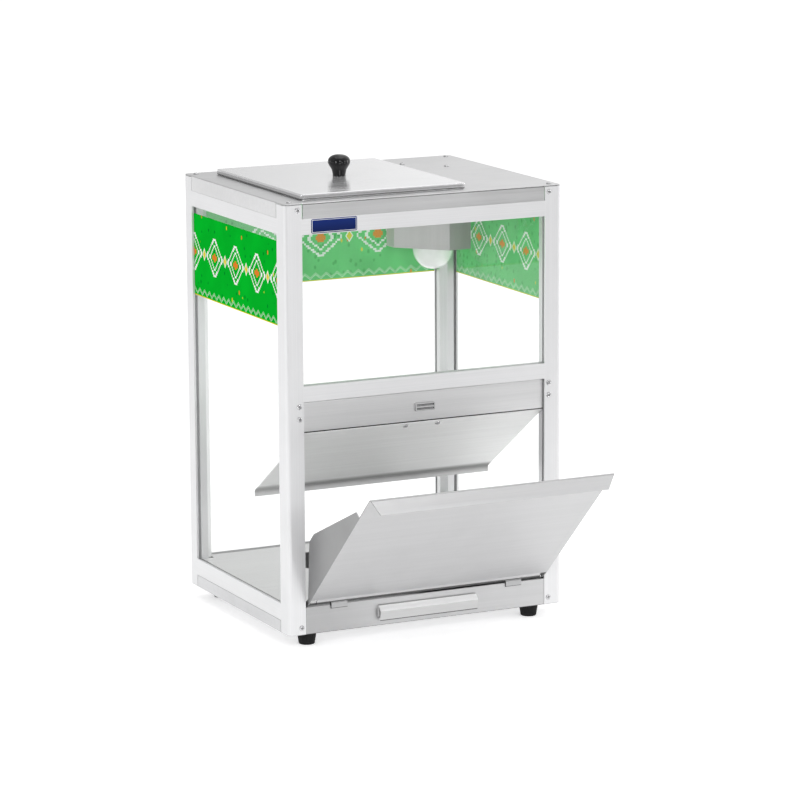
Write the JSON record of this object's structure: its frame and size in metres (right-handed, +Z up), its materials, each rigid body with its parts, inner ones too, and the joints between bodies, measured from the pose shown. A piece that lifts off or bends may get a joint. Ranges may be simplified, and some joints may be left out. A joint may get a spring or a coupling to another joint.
{
  "type": "chip warmer",
  "caption": "Glazed counter-top chip warmer with a lift-off lid, a tip-out serving flap, a baffle, a corner lamp and a crumb drawer.",
  "frame": {"origin": "on the standing surface, under the middle of the case", "axes": "+X to the right as seen from the serving side, +Y to the rear, +Z up"},
  "size_m": [0.42, 0.5664, 0.652],
  "materials": {
    "aluminium_frame": "satin anodised, very light grey",
    "sheet_steel": "fine brushed sheet",
    "polished_lid": "near-mirror brushed sheet",
    "clear_glass": "clear float glass",
    "printed_film": "printed green film with small warm ornaments",
    "screw_steel": "bright steel",
    "black_nylon": "moulded black nylon",
    "black_knob": "gloss black",
    "black_rubber": "matt black rubber",
    "catch_plastic": "moulded grey plastic",
    "catch_steel": "dark pole strips",
    "lamp_ceramic": "unglazed white ceramic",
    "lamp_glass": "frosted bulb",
    "lamp_cap": "threaded lamp cap",
    "switch_plastic": "gloss black"
  },
  "bodies": {
    "cabinet": {"post_front_left": "aluminium_frame", "post_front_right": "aluminium_frame", "post_rear_left": "aluminium_frame", "post_rear_right": "aluminium_frame", "rail_top_front": "aluminium_frame", "rail_top_rear": "aluminium_frame", "rail_top_left": "aluminium_frame", "rail_top_right": "aluminium_frame", "rail_middle_front": "aluminium_frame", "rail_bottom_left": "aluminium_frame", "rail_bottom_right": "aluminium_frame", "rail_bottom_rear": "aluminium_frame", "infill_strip_left": "aluminium_frame", "infill_strip_right": "aluminium_frame", "top_cover": "sheet_steel", "base_pan": "sheet_steel", "floor_plate": "sheet_steel", "apron": "sheet_steel", "baffle": "sheet_steel", "lamp_housing": "sheet_steel", "tray_runner_left": "sheet_steel", "tray_runner_right": "sheet_steel", "glass_front": "clear_glass", "glass_rear": "clear_glass", "glass_left": "clear_glass", "glass_right": "clear_glass", "film_rear": "printed_film", "film_left": "printed_film", "film_right": "printed_film", "baffle_screws": "screw_steel", "flap_pins": "screw_steel", "flap_stop_pins": "screw_steel", "foot_screws": "screw_steel", "cover_screws": "screw_steel", "post_screws": "screw_steel", "flap_washers": "black_nylon", "cable_gland": "black_nylon", "gland_nut": "black_nylon", "foot_front_left": "black_rubber", "foot_front_right": "black_rubber", "foot_rear_left": "black_rubber", "foot_rear_right": "black_rubber", "catch_body": "catch_plastic", "catch_poles": "catch_steel", "lamp_socket": "lamp_ceramic", "bulb_glass": "lamp_glass", "bulb_cap": "lamp_cap", "switch_bezel": "switch_plastic"},
    "flap": {"flap_panel": "sheet_steel"},
    "drawer": {"drawer_tray": "sheet_steel", "drawer_front": "sheet_steel", "drawer_handle": "sheet_steel", "handle_screws": "screw_steel"},
    "lid": {"lid_pan": "polished_lid", "lid_knob": "black_knob", "knob_screw": "screw_steel"},
    "rocker": {"switch_rocker": "switch_plastic"}
  },
  "joints": [
    {"name": "flap_hinge", "type": "hinge", "parent": "cabinet", "child": "flap", "pos_m": [0, -0.1674, 0.06], "axis": [-1, 0, 0], "range_deg": [0, 47]},
    {"name": "drawer_slide", "type": "slide", "parent": "cabinet", "child": "drawer", "axis": [0, -1, 0], "range_m": [0, 0.25]},
    {"name": "lid_lift", "type": "slide", "parent": "cabinet", "child": "lid", "axis": [0, 0, 1], "range_m": [0, 0.08]},
    {"name": "rocker_tilt", "type": "hinge", "parent": "cabinet", "child": "rocker", "pos_m": [0.126, 0.1707, 0.6029], "axis": [0, 0, -1], "range_deg": [0, 20]}
  ]
}
